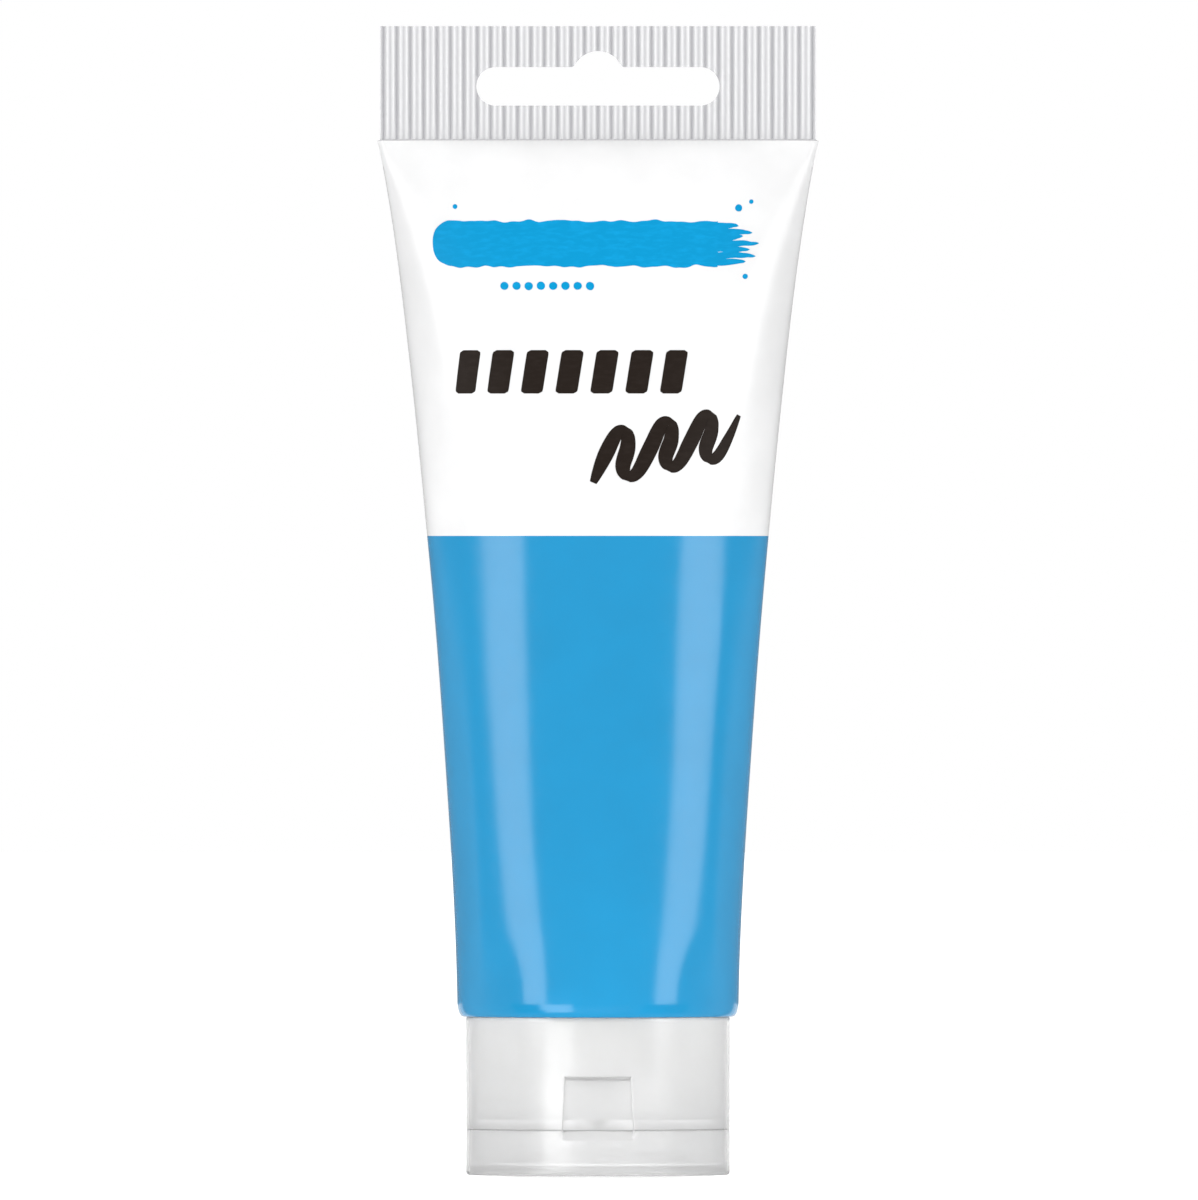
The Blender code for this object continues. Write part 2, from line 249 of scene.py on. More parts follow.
def half_depth(width):
    """Half the depth of the ellipse that keeps the sleeve's girth."""
    low, high = 0.0, SLEEVE_RADIUS
    for _ in range(50):
        depth = (low + high) / 2
        h = ((width - depth) / (width + depth)) ** 2
        girth = math.pi * (width + depth) * (1 + 3 * h / (10 + math.sqrt(4 - 3 * h)))
        if girth < SLEEVE_GIRTH:
            low = depth
        else:
            high = depth
    return (low + high) / 2


class Section:
    """A quarter of the sleeve's cross-section at one height, measured along it from the +X end.

    It is the ellipse that keeps the sleeve's girth, with a front that is as round as the paint
    behind it presses it.
    """

    def __init__(self, z, steps=160):
        self.z = z
        self.width = half_width(z)
        self.depth = half_depth(self.width)
        self.weight = ease((z - 0.023) / 0.008) * ease((0.100 - z) / 0.024)
        self.front_radius = 0.0175 + 0.0086 * (1 - math.exp(-max(0.0, z - 0.028) / 0.036))
        self.bulge = [0.0]
        for i in range(1, BULGE_STEPS + 1):
            u = (i - 0.5) / BULGE_STEPS
            x = u * self.width
            steeper = self.depth * u / (self.width * math.sqrt(1 - u * u)) - x / self.front_radius
            window = self.weight * ease((0.86 - u) / 0.12)
            self.bulge.append(self.bulge[-1] + steeper * window * self.width / BULGE_STEPS)
        self.angles = [math.pi / 2 * i / steps for i in range(steps + 1)]
        points = [(self.width * math.cos(a), self.at(a)) for a in self.angles]
        self.lengths = [0.0]
        for p, q in zip(points, points[1:]):
            self.lengths.append(self.lengths[-1] + math.dist(p, q))

    def at(self, angle):
        """Half the depth at an ellipse angle from the +X end."""
        u = abs(math.cos(angle))
        place = u * BULGE_STEPS
        i = min(BULGE_STEPS - 1, int(place))
        added = self.bulge[i] + (self.bulge[i + 1] - self.bulge[i]) * (place - i)
        return self.depth * abs(math.sin(angle)) + added - self.bulge[-1] * ease((u - 0.80) / 0.20)

    def angle(self, length):
        """The ellipse's own angle at this arc length from the +X end."""
        i = min(len(self.lengths) - 2, max(0, bisect_right(self.lengths, length) - 1))
        share = (length - self.lengths[i]) / (self.lengths[i + 1] - self.lengths[i])
        return self.angles[i] + share * (self.angles[i + 1] - self.angles[i])

    def point(self, angle, out):
        """(x, y) at a full-turn angle, moved outwards."""
        depth = self.at(angle)
        nx, ny = math.cos(angle) / self.width, math.sin(angle) / max(self.depth, 1e-5)
        length = math.hypot(nx, ny)
        return (self.width * math.cos(angle) + out * nx / length,
                math.copysign(depth, math.sin(angle)) + out * ny / length)


def film_relief(section, angle):
    """Slight unevenness of the soft wall, none at the shoulder and the seal."""
    z = section.z
    quiet = ease((z - SHOULDER_Z - CORNER_UP) / 0.004) * ease((SEAL_Z - z) / 0.010)
    x, y = section.point(angle, 0.0)
    return RELIEF * quiet * noise.noise(Vector((x, y, z * 0.45)) * 110.0)


def film_ring(z, inset=0.0, least_depth=0.0, relief=False):
    """A cross-section of the sleeve with its points at equal arc lengths."""
    section = Section(z)
    quarter = SLEEVE_SIDES // 4
    base = [section.angle(j / quarter * section.lengths[-1]) for j in range(quarter + 1)]
    angles = (base + [math.pi - a for a in reversed(base[:-1])]
              + [math.pi + a for a in base[1:]] + [2 * math.pi - a for a in reversed(base[1:-1])])
    ring = []
    for angle in angles:
        out = film_relief(section, angle) if relief else -inset
        x, y = section.point(angle, out)
        if abs(math.sin(angle)) < 1e-9:
            y = 0.0
        elif least_depth:
            y = math.copysign(math.hypot(y, least_depth), y)
        ring.append((x, y, z))
    return ring


def flat_ring(z, width, depth):
    """A cross-section that is flat front and back, and pointed at its ends."""
    half = SLEEVE_SIDES // 2
    xs = [width * (1 - 2 * i / half) for i in range(half + 1)]
    return ([(x, depth if 0 < i < half else 0.0, z) for i, x in enumerate(xs)]
            + [(-x, -depth, z) for x in xs[1:-1]])


def film_point(s, z, offset):
    """The point at arc length s from the front's middle line, offset outwards."""
    section = Section(z, 60)
    angle = section.angle(max(0.0, section.lengths[-1] - abs(s)))
    angle = -angle if s >= 0 else math.pi + angle
    x, y = section.point(angle, offset + film_relief(section, angle))
    return (x, y, z)


def make_paint():
    """The paint inside the sleeve, the shoulder and the neck."""
    in_neck, in_ring = NECK_BORE - 0.0003, 0.0153
    on_plate = SHOULDER_Z + 0.0015
    rings = [round_ring(in_neck, NECK_END_Z + 0.0003), round_ring(in_neck, on_plate),
             round_ring(in_ring, on_plate), round_ring(in_ring, WELD_TOP_Z + 0.0003)]
    rings += [film_ring(z, SLEEVE_WALL + 0.0003)
              for z in spread(WELD_TOP_Z + 0.0005, SEAL_Z - 0.008, 24)]
    return shell("paint", rings)


def make_sleeve():
    """The closed soft shell, with an edge loop where the printed colour ends."""
    corner_z = SHOULDER_Z + CORNER_UP
    corner = [(SLEEVE_RADIUS - CORNER_IN * (1 - math.cos(math.radians(a))),
               corner_z - CORNER_UP * math.sin(math.radians(a))) for a in (90, 75, 60, 45, 30, 15)]
    top_z = SEAL_Z - 0.0012        # of the room inside
    bend = 0.006                   # how far below the seal the film starts to flatten
    inside = [film_ring(z, SLEEVE_WALL) for z in reversed(spread(corner_z, top_z - 0.001, 30))]
    rings = [flat_ring(top_z, half_width(top_z) - 2 * SLEEVE_WALL, 0.00012)] + inside
    rings.append(round_ring(SLEEVE_RADIUS - CORNER_IN - SLEEVE_WALL, SHOULDER_Z))
    rings += [round_ring(radius, z) for radius, z in corner]
    heights = spread(corner_z, COLOUR_Z, 64) + spread(COLOUR_Z, SEAL_Z - bend, 44)[1:]
    heights += [SEAL_Z - bend * (1 - i / 22) ** 1.3 for i in range(1, 23)]
    for z in heights:
        rings.append(film_ring(z, 0.0, 0.00058 * rise(z) ** 30, True))
    seal_width = FLAT_HALF_WIDTH - SEAL_INSET
    rings.append(flat_ring(SEAL_Z + 0.00012, seal_width, 0.00024))
    rings.append(flat_ring(SEAL_Z + 0.0006, seal_width - 0.0002, 0.00010))
    obj = shell("sleeve_body", rings)
    for face in obj.data.polygons:
        top = max(obj.data.vertices[v].co.z for v in face.vertices)
        face.material_index = 0 if top <= COLOUR_Z + 1e-5 else 1
    return obj


def rib_height(x, width):
    """The seal's ribs: 1 on a crest and 0 in a deep groove; every other groove is shallow."""
    turn = (x + width) / (2 * width) * RIBS
    groove = abs(math.sin(math.pi * turn)) ** 1.6
    return 1 - groove * (1.0 if int(turn) % 2 == 0 else 0.62)


def slot_outline():
    """The hanging slot: a long round-ended hole with a hump in the middle of its upper edge."""
    end_x = SLOT_HALF_WIDTH - SLOT_RADIUS
    hump_z = HUMP_TOP_Z - HUMP_RADIUS
    fillet = 0.0006
    fillet_z = SLOT_Z + SLOT_RADIUS + fillet
    fillet_x = math.sqrt((HUMP_RADIUS + fillet) ** 2 - (fillet_z - hump_z) ** 2)
    turn = math.degrees(math.atan2(fillet_z - hump_z, fillet_x))
    return (arc((end_x, SLOT_Z), SLOT_RADIUS, -90, 90, 24)
            + arc((fillet_x, fillet_z), fillet, 270, 180 + turn, 6)
            + arc((0, hump_z), HUMP_RADIUS, turn, 180 - turn, 24)[1:-1]
            + arc((-fillet_x, fillet_z), fillet, -turn, -90, 6)
            + arc((-end_x, SLOT_Z), SLOT_RADIUS, 90, 270, 24))


def make_seal():
    """The flat end seal: two welded walls between ribbed jaws, with the hanging slot cut out."""
    width = FLAT_HALF_WIDTH - SEAL_INSET
    xs = spread(-width, width, RIBS * 10)
    low, high = SEAL_Z - 0.0001, OVERALL_HEIGHT
    zs = [low, low + 0.0002, low + 0.0004] + spread(low + 0.0004, high - 0.00006, 4)[1:] + [high]
    # The ribs start above a plain pressed line and stop at a cut edge
    depths = [0.00036, 0.00030] + [None] * (len(zs) - 2)

    def sheet(side):
        grid = []
        for z, depth in zip(zs, depths):
            row = []
            for x in xs:
                wave = RIB_DEPTH * (rib_height(x, width) - 0.5)
                reach = depth if depth else SEAL_HALF_THICKNESS - side * wave
                row.append((x, side * reach, z))
            grid.append(row)
        return grid

    seal = grid_slab("end_seal", sheet(-1), sheet(1), 60)
    outline = slot_outline()
    verts = [(x, y, z) for y in (-0.002, 0.002) for x, z in outline]
    n = len(outline)
    faces = ring_faces(n, 2, False) + [tuple(range(n)), tuple(reversed(range(n, 2 * n)))]
    cutter = make_object("slot_cutter", verts, faces)
    boolean = seal.modifiers.new("slot", "BOOLEAN")
    boolean.operation = "DIFFERENCE"
    boolean.object = cutter
    boolean.solver = "EXACT"
    return settle(seal, cutter)


def settle(obj, tool):
    """Apply the modifier, and remove the tool that it used."""
    graph = bpy.context.evaluated_depsgraph_get()
    mesh = bpy.data.meshes.new_from_object(obj.evaluated_get(graph))
    obj.modifiers.clear()
    obj.data = mesh
    bpy.data.objects.remove(tool)
    mesh.shade_smooth()
    mesh.set_sharp_from_angle(angle=math.radians(50))
    return obj


# ---------------------------------------------------------------- print

def ink_ribbon(name, left, right, across, height=INK):
    """A thin layer of ink on the front, between two edges given as (s, z) points."""
    rows = []
    for offset in (height, -INK):
        grid = []
        for a, b in zip(left, right):
            grid.append([film_point(a[0] + (b[0] - a[0]) * k / across,
                                    a[1] + (b[1] - a[1]) * k / across, offset)
                         for k in range(across + 1)])
        rows.append(grid)
    return grid_slab(name, rows[0], rows[1])


def upright(name, xs, low, high, across):
    """Ink whose lower and upper edges are functions of the place along the front."""
    return ink_ribbon(name, [(x, low(x)) for x in xs], [(x, high(x)) for x in xs], across)


def brush_line(name, points, width, across, height=INK):
    """Ink along a line of (s, z) points, as a round brush leaves it: thinner in tight bends."""
    count = len(points)
    ways, halves = [], []
    for i in range(count):
        before, after = points[max(0, i - 1)], points[min(count - 1, i + 1)]
        ways.append(math.atan2(after[1] - before[1], after[0] - before[0]))
    for i in range(count):
        low, high = max(0, i - 2), min(count - 1, i + 2)
        travel = sum(math.dist(points[j], points[j + 1]) for j in range(low, high))
        bend = abs(math.remainder(ways[high] - ways[low], 2 * math.pi))
        halves.append(min(width(i / (count - 1)) / 2, 0.85 * travel / max(bend, 1e-3)))
    left, right = [], []
    for i, (x, z) in enumerate(points):
        near = halves[max(0, i - 3):i + 4]
        half = min(halves[i], sum(near) / len(near))
        side = (-math.sin(ways[i]) * half, math.cos(ways[i]) * half)
        left.append((x + side[0], z + side[1]))
        right.append((x - side[0], z - side[1]))
    return ink_ribbon(name, left, right, across, height)


def smooth_line(points, steps):
    """A Catmull-Rom line through the points."""
    line = []
    padded = [points[0]] + points + [points[-1]]
    for a, b, c, d in zip(padded, padded[1:], padded[2:], padded[3:]):
        for i in range(steps):
            t = i / steps
            line.append(tuple(0.5 * (2 * q + (r - p) * t + (2 * p - 5 * q + 4 * r - s) * t * t
                                     + (3 * q - p - 3 * r + s) * t ** 3)
                              for p, q, r, s in zip(a, b, c, d)))
    return line + [points[-1]]


def wander(x, seed, size):
    """Smooth unevenness of a brush's edge, between about -size and size."""
    return size * 1.6 * noise.noise(Vector((x * 700.0, seed * 7.3, 0.5)))


def make_prints():
    """Generic graphics: a blue stroke with dots, a row of dark bars and a dark brush line."""
    prints = []
    mm = 0.001

    # A broad stroke with a round start, and bristle marks where the brush ran dry
    start_x, end_x = -20.9, 15.0

    def half_height(x):
        away = 1 - clamp((x / mm - start_x) / 2.6)
        return 2.75 * math.sqrt(max(0.0, 1 - away ** 2.4)) + 0.02

    def stroke_low(x):
        return (115.9 - half_height(x) + wander(x, 1, 0.22)) * mm

    def stroke_high(x):
        return (116.0 + half_height(x) + wander(x, 2, 0.22)) * mm

    xs = [start_x * mm + 0.9 * mm * (i / 20) ** 2 for i in range(20)]
    xs += spread((start_x + 0.9) * mm, end_x * mm, 190)
    strands = [upright("stroke", xs, stroke_low, stroke_high, 8)]
    for i, length in enumerate((3.6, 4.9, 4.1, 5.3, 3.2, 4.4, 2.6)):
        z = (113.75 + 0.74 * i) * mm
        points = [(x, z + wander(x, 30 + i, 0.15) * mm)
                  for x in spread((end_x - 1.4) * mm, (end_x + length) * mm, 20)]
        # Neighbours overlap, so each lies a little lower than the one before it or the stroke
        strands.append(brush_line("strand", points,
                                  lambda t: 0.90 * mm * math.sqrt(max(0.01, 1 - t ** 2.8)), 2,
                                  INK * (0.8, 0.55)[i % 2]))
    prints.append((join("print_brush_stroke", strands), "ink_blue"))

    def blot(name, centre_x, centre_z, radius, seed):
        points = [centre_x - radius * math.cos(angle) for angle in spread(0.0, math.pi, 24)]

        def edge(x, way):
            height = math.sqrt(max(1e-10, radius * radius - (x - centre_x) ** 2))
            return centre_z + way * height * (1 + wander(x, seed + way, 0.12))
        return upright(name, points, lambda x: edge(x, -1), lambda x: edge(x, 1), 2)

    dots = [blot("dot", (-11.7 + 1.53 * i) * mm, 110.7 * mm, 0.52 * mm, i) for i in range(8)]
    prints.append((join("print_dots", dots), "ink_blue"))
    drops = [blot("drop", x * mm, z * mm, r * mm, 20 + x)
             for x, z, r in ((-17.9, 120.6, 0.30), (17.6, 120.4, 0.45), (19.2, 121.2, 0.28),
                             (18.6, 111.9, 0.35))]
    prints.append((join("print_drops", drops), "ink_blue"))

    # A row of slanted bars with rounded corners
    bars = []
    low, high, radius = 97.3, 102.7, 0.45
    for i in range(7):
        left, right = [], []
        for z in spread(low, high, 22):
            near = min(z - low, high - z)
            inset = radius - math.sqrt(max(0.0, radius ** 2 - max(0.0, radius - near) ** 2))
            x = -18.4 + 4.35 * i + 0.16 * (z - low)
            left.append(((x + inset) * mm, z * mm))
            right.append(((x + 2.75 - inset) * mm, z * mm))
        bars.append(ink_ribbon("bar", left, right, 6))
    prints.append((join("print_bars", bars), "ink_dark"))

    loops = [(-0.6, 86.2), (0.9, 89.6), (2.4, 92.4), (3.6, 92.6), (3.7, 90.6), (3.1, 88.2),
             (3.7, 86.9), (5.0, 87.6), (6.6, 90.6), (8.0, 93.5), (9.2, 93.6), (9.2, 91.6),
             (8.5, 89.4), (9.0, 88.1), (10.3, 88.7), (11.9, 91.6), (13.3, 94.3), (14.5, 94.5),
             (14.5, 92.6), (13.8, 90.4), (14.3, 89.1), (15.6, 89.6), (17.0, 91.9), (18.3, 94.6)]
    line = smooth_line([(x * mm, z * mm) for x, z in loops], 9)

    def brush_width(t):
        return mm * (1.75 + 0.3 * math.sin(t * 41)) * min(1.0, 0.5 + 12 * t, 0.35 + 7 * (1 - t))

    prints.append((brush_line("print_brush_line", line, brush_width, 4), "ink_dark"))
    return prints


# ---------------------------------------------------------------- turned pieces

def turned(name, profile, place, sides, wrap=True):
    """A skin over rings of (radius, z), with place(radius, z, i) giving each point."""
    verts = [place(radius, z, i) for radius, z in profile for i in range(sides)]
    return make_object(name, verts, ring_faces(sides, len(profile), wrap))


def thread_lift(angle, z, first_z, base_half, crest_half):
    """0 to 1: how far a right-hand ridge stands out at this angle (from +X) and height."""
    best = 0.0
    share = (angle / (2 * math.pi)) % 1.0
    for k in range(-1, int(THREAD_TURNS) + 2):
        turn = share + k
        if turn < -0.02 or turn > THREAD_TURNS + 0.02:
            continue
        away = abs(z - first_z - PITCH * turn)
        flank = (base_half - away) / (base_half - crest_half)
        ends = min(turn, THREAD_TURNS - turn) / 0.1
        best = max(best, ease(flank) * ease(ends))
    return best


def make_neck():
    """Shoulder plate, weld ring and threaded neck in one moulding."""
    sides = 144
    plate = SLEEVE_RADIUS - CORNER_IN - SLEEVE_WALL - 0.0002
    ring_outer = SLEEVE_RADIUS - SLEEVE_WALL - 0.0003
    ring_inner = SLEEVE_RADIUS - 0.0019
    plate_top = SHOULDER_Z + 0.0012
    wall = [(NECK_ROOT, z) for z in spread(NECK_END_Z + 0.0002, SHOULDER_Z - 0.0003, 60)]
    profile = ([(NECK_BORE, plate_top), (NECK_BORE, NECK_END_Z + 0.0002),
                (NECK_BORE + 0.0002, NECK_END_Z), (NECK_ROOT - 0.0002, NECK_END_Z)] + wall
               + [(NECK_ROOT + 0.0003, SHOULDER_Z), (plate - 0.0001, SHOULDER_Z),
                  (plate, SHOULDER_Z + 0.0001), (plate, plate_top - 0.0004),
                  (ring_outer, plate_top + 0.0008), (ring_outer, WELD_TOP_Z - 0.0001),
                  (ring_outer - 0.0001, WELD_TOP_Z), (ring_inner + 0.0001, WELD_TOP_Z),
                  (ring_inner, WELD_TOP_Z - 0.0001), (ring_inner, plate_top)])

    def place(radius, z, i):
        angle = 2 * math.pi * i / sides
        if abs(radius - NECK_ROOT) < 1e-6:
            lift = thread_lift(angle - math.pi / 2, z, NECK_THREAD_Z, 0.00065, 0.0003)
            radius += (NECK_CREST - NECK_ROOT) * lift
        return (radius * math.sin(angle), -radius * math.cos(angle), z)

    return turned("neck", profile, place, sides)


def make_foil():
    """The membrane on the neck's mouth, with the ring and the ribs that sealing leaves."""
    sides = 96
    radii = spread(0.0001, FOIL_RADIUS, 40)

    def relief(radius, angle):
        ring = math.exp(-((radius - 0.0039) / 0.00035) ** 2)
        dome = 1 - (radius / 0.0031) ** 2 if radius < 0.0031 else 0.0
        place = Vector((radius * math.cos(angle), radius * math.sin(angle), 0.0))
        crinkle = noise.noise(place * 1400.0)
        return 0.00004 * ring + 0.00004 * dome + 0.00001 * crinkle

    profile = [(r, FOIL_BOTTOM_Z) for r in radii] + [(r, FOIL_TOP_Z) for r in reversed(radii)]

    def place(radius, z, i):
        angle = 2 * math.pi * i / sides
        if z == FOIL_BOTTOM_Z and 0.0002 < radius < FOIL_RADIUS - 0.0001:
            z += relief(radius, angle)
        return (radius * math.cos(angle), radius * math.sin(angle), z)

    return turned("foil_disc", profile, place, sides, wrap=False)


# ---------------------------------------------------------------- cap

# Across the recess's side wall and below its top: distance outside the edge, and depth there
RECESS_EDGE = [(0.00020, 0.0), (0.00010, 0.00001), (0.00004, 0.00005), (0.0, 0.00014),
               (-0.00002, 0.00035), (-0.00003, 0.0009), (-0.00006, 0.00104), (-0.00016, 0.00110)]
INSIDE_COLUMNS = 10


def edge_depth(outside):
    """How deep the recess is at this distance outside its edge."""
    if outside >= RECESS_EDGE[0][0]:
        return 0.0
    for (a, da), (b, db) in zip(RECESS_EDGE, RECESS_EDGE[1:]):
        if outside >= b:
            return db + (da - db) * (outside - b) / (a - b)
    return RECESS_EDGE[-1][1]


def recess_half(z):
    """Half the recess's width, which grows a little towards its open lower end."""
    return 0.00408 + 0.00034 * clamp((RECESS_TOP_Z - z) / (RECESS_TOP_Z - DECK_Z))


def cap_columns(radius, half):
    """Angles from the front for every column, with columns on the recess's edges."""
    inner = half + RECESS_EDGE[-1][0]
    xs = [inner * i / INSIDE_COLUMNS for i in range(INSIDE_COLUMNS)]
    xs += [half + out for out, _ in reversed(RECESS_EDGE)]
    right = [math.asin(x / max(radius, CAP_INNER - 0.00004)) for x in xs]
    right += spread(right[-1], math.pi, 72)[1:]
    return right + [-a for a in reversed(right[1:-1])]


def make_cap():
    """The cap base: outer shell with the thumb recess, deck, spout, and threaded collar."""
    sides = len(cap_columns(CAP_RADIUS, recess_half(RECESS_TOP_Z)))
    outer_z = ([DECK_Z + 0.0001] + spread(DECK_Z + 0.0003, CATCH_Z - 0.0001, 16)
               + [CATCH_Z, CATCH_Z + 0.00004] + spread(CATCH_Z + 0.00010, RECESS_TOP_Z - 0.00016, 2)
               + [RECESS_TOP_Z + out for out, _ in reversed(RECESS_EDGE[:-1])]
               + spread(RECESS_TOP_Z + 0.0004, CAP_TOP_Z - 0.0002, 16))
    inner_z = list(reversed(spread(DECK_TOP_Z + 0.0002, CAP_TOP_Z - 0.0001, 24)))
    collar_z = list(reversed(spread(0.01345, 0.0188, 52)))
    profile = ([(0.0018, 0.0047), (0.0019, 0.0046), (0.0030, 0.0046), (0.0032, 0.0048),
                (0.0032, DECK_Z - 0.0002), (0.0034, DECK_Z), (0.0143, DECK_Z),
                (0.0143, 0.0053), (0.0144, 0.0052), (0.0148, 0.0052), (0.0149, 0.0053),
                (0.0149, DECK_Z), (CAP_RADIUS - 0.0001, DECK_Z)]
               + [(CAP_RADIUS, z) for z in outer_z]
               + [(CAP_RADIUS - 0.00006, CAP_TOP_Z - 0.00006), (CAP_RADIUS - 0.0002, CAP_TOP_Z),
                  (CAP_INNER + 0.0001, CAP_TOP_Z)]
               + [(CAP_INNER, z) for z in inner_z]
               + [(CAP_INNER - 0.0002, DECK_TOP_Z), (0.0034, DECK_TOP_Z), (0.0032, 0.0072),
                  (0.0032, 0.0119), (0.0034, 0.0121), (0.0070, 0.0121), (0.0072, 0.0123),
                  (0.0072, 0.0187), (0.0070, 0.0189), (0.0060, 0.0189)]
               + [(COLLAR_ROOT, z) for z in collar_z]
               + [(0.0057, 0.0133), (0.0020, 0.0133), (0.0018, 0.0131)])

    columns = {}

    def place(radius, z, i):
        half = recess_half(z)
        key = (radius, half)
        if key not in columns:
            columns[key] = cap_columns(radius, half)
        angle = columns[key][i]
        reach = radius
        if radius == COLLAR_ROOT:
            lift = thread_lift(angle - math.pi / 2, z, NECK_THREAD_Z - PITCH / 2, 0.0006, 0.00025)
            reach = radius - COLLAR_THREAD_DEPTH * lift
        x, y = reach * math.sin(angle), -reach * math.cos(angle)
        if radius > 0.0160 and abs(angle) < 0.5:
            depth = min(edge_depth(abs(x) - half), edge_depth(z - RECESS_TOP_Z))
            floor = RECESS_FLOOR
            if z > CATCH_Z:
                floor = CATCH_FLOOR
                depth *= CATCH_STEEPER
            y = max(y, min(y + depth, -floor))
        if radius == CAP_INNER and abs(angle) < 0.6:
            share = ease((0.0056 - abs(x)) / 0.0008) * ease((0.0136 - z) / 0.0008)
            y += max(0.0, -RECESS_PAD - y) * share
        return (x, y, z)

    return turned("cap_shell", profile, place, sides)


def dish_z(radius):
    """The height of the lid's dished end."""
    return DISH_HEIGHT * (1 - (radius / DISH_RADIUS) ** 2)


def make_lid():
    """The flip-top lid: standing rim, dished end, stopper pin and the thumb catch."""
    sides = len(cap_columns(CAP_RADIUS, NOTCH_HALF))
    corner = arc((CAP_RADIUS - 0.00045, 0.00045), 0.00045, -90, 0, 8)
    dish = [(r, dish_z(r)) for r in spread(0.00005, DISH_RADIUS, 24)]
    inside = [(r, z + LID_FLOOR) for r, z in reversed(dish) if r > 0.0017]
    inside[0] = (DISH_RADIUS - 0.0002, LID_FLOOR + 0.0002)
    foot = dish_z(PIN_RADIUS) + LID_FLOOR
    wall_z = spread(0.0006, 0.0044, 8) + spread(0.0045, LID_TOP_Z - 0.0001, 6)
    profile = (dish + [(0.0142, 0.0)] + corner + [(CAP_RADIUS, z) for z in wall_z]
               + [(CAP_RADIUS - 0.0001, LID_TOP_Z), (CAP_INNER + 0.0001, LID_TOP_Z),
                  (CAP_INNER, LID_TOP_Z - 0.0001), (CAP_INNER, 0.0016),
                  (CAP_INNER - 0.0003, 0.0013)]
               + inside
               + [(PIN_RADIUS + 0.0001, foot), (PIN_RADIUS, foot + 0.0001),
                  (PIN_RADIUS, PIN_TOP_Z - 0.0008), (0.0013, PIN_TOP_Z - 0.0004),
                  (0.0011, PIN_TOP_Z - 0.0001), (0.0009, PIN_TOP_Z), (0.00005, PIN_TOP_Z)])
    columns = {radius: cap_columns(radius, NOTCH_HALF) for radius, _ in profile}

    def place(radius, z, i):
        angle = columns[radius][i]
        x, y = radius * math.sin(angle), -radius * math.cos(angle)
        if radius > 0.0160 and z > 0.0044 and abs(angle) < 0.5:
            cut = 0.0007 * (z - 0.0045) / 0.0011 + 0.00003
            y += max(0.0, cut) * ease((NOTCH_HALF + 0.0002 - abs(x)) / 0.0005)
        return (x, y, z)

    return turned("cap_lid", profile, place, sides, wrap=False)


def make_web(name, x_low, x_high, reach, bulge, thickness):
    """A thin moulded web that bows out from the cap's wall, over the hinge line, to the lid's."""
    def sheet(offset):
        grid = []
        for t in spread(-1.0, 1.0, 24):
            row = []
            for x in spread(x_low, x_high, 6):
                wall = math.sqrt(CAP_RADIUS ** 2 - x ** 2) - 0.0002
                y = wall + (bulge - wall) * (1 - t * t) ** 1.5
                row.append((x, y + offset, HINGE_Z - t * reach))
            grid.append(row)
        return grid

    return grid_slab(name, sheet(thickness / 2), sheet(-thickness / 2))


# ---------------------------------------------------------------- materials

def map_range(tree, value, *numbers):
    """A node that remaps a value; numbers are from low, from high, to low, to high."""
    node = tree.nodes.new("ShaderNodeMapRange")
    for socket, number in zip(("From Min", "From Max", "To Min", "To Max"), numbers):
        node.inputs[socket].default_value = number
    tree.links.new(value, node.inputs["Value"])
    return node


class Shader:
    """A Principled material and a few node shortcuts."""

    def __init__(self, name, colour, roughness, **sockets):
        self.material = bpy.data.materials.new(name)
        self.material.use_nodes = True
        self.tree = self.material.node_tree
        self.main = self.tree.nodes["Principled BSDF"]
        self.main.inputs["Base Color"].default_value = (*colour, 1.0)
        self.main.inputs["Roughness"].default_value = roughness
        for socket, value in sockets.items():
            self.main.inputs[socket.replace("_", " ")].default_value = value
        self.colour = colour
        coordinates = self.tree.nodes.new("ShaderNodeTexCoord")
        self.place = coordinates.outputs["Object"]

    def noise(self, scale, detail, stretch=(1.0, 1.0, 1.0)):
        """A noise pattern with scale cells per metre; stretch squeezes the axes."""
        node = self.tree.nodes.new("ShaderNodeTexNoise")
        node.inputs["Scale"].default_value = scale
        node.inputs["Detail"].default_value = detail
        mapping = self.tree.nodes.new("ShaderNodeMapping")
        mapping.inputs["Scale"].default_value = stretch
        self.tree.links.new(self.place, mapping.inputs["Vector"])
        self.tree.links.new(mapping.outputs["Vector"], node.inputs["Vector"])
        return node.outputs["Fac"]

    def map(self, value, low, high, to_low, to_high):
        """The value remapped from one range to another."""
        return map_range(self.tree, value, low, high, to_low, to_high).outputs["Result"]

    def tint(self, factor, other):
        """Mix another colour into the base colour where factor is high."""
        node = self.tree.nodes.new("ShaderNodeMix")
        node.data_type = "RGBA"
        node.inputs["A"].default_value = (*self.colour, 1.0)
        node.inputs["B"].default_value = (*other, 1.0)
        self.tree.links.new(factor, node.inputs["Factor"])
        self.tree.links.new(node.outputs["Result"], self.main.inputs["Base Color"])

    def feed(self, socket, value):
        """Drive a socket of the material by a pattern."""
        self.tree.links.new(value, self.main.inputs[socket])

    def bump(self, height, distance, strength):
        """Small relief from a pattern, distance deep."""
        node = self.tree.nodes.new("ShaderNodeBump")
        node.inputs["Strength"].default_value = strength
        node.inputs["Distance"].default_value = distance
        self.tree.links.new(height, node.inputs["Height"])
        self.tree.links.new(node.outputs["Normal"], self.main.inputs["Normal"])


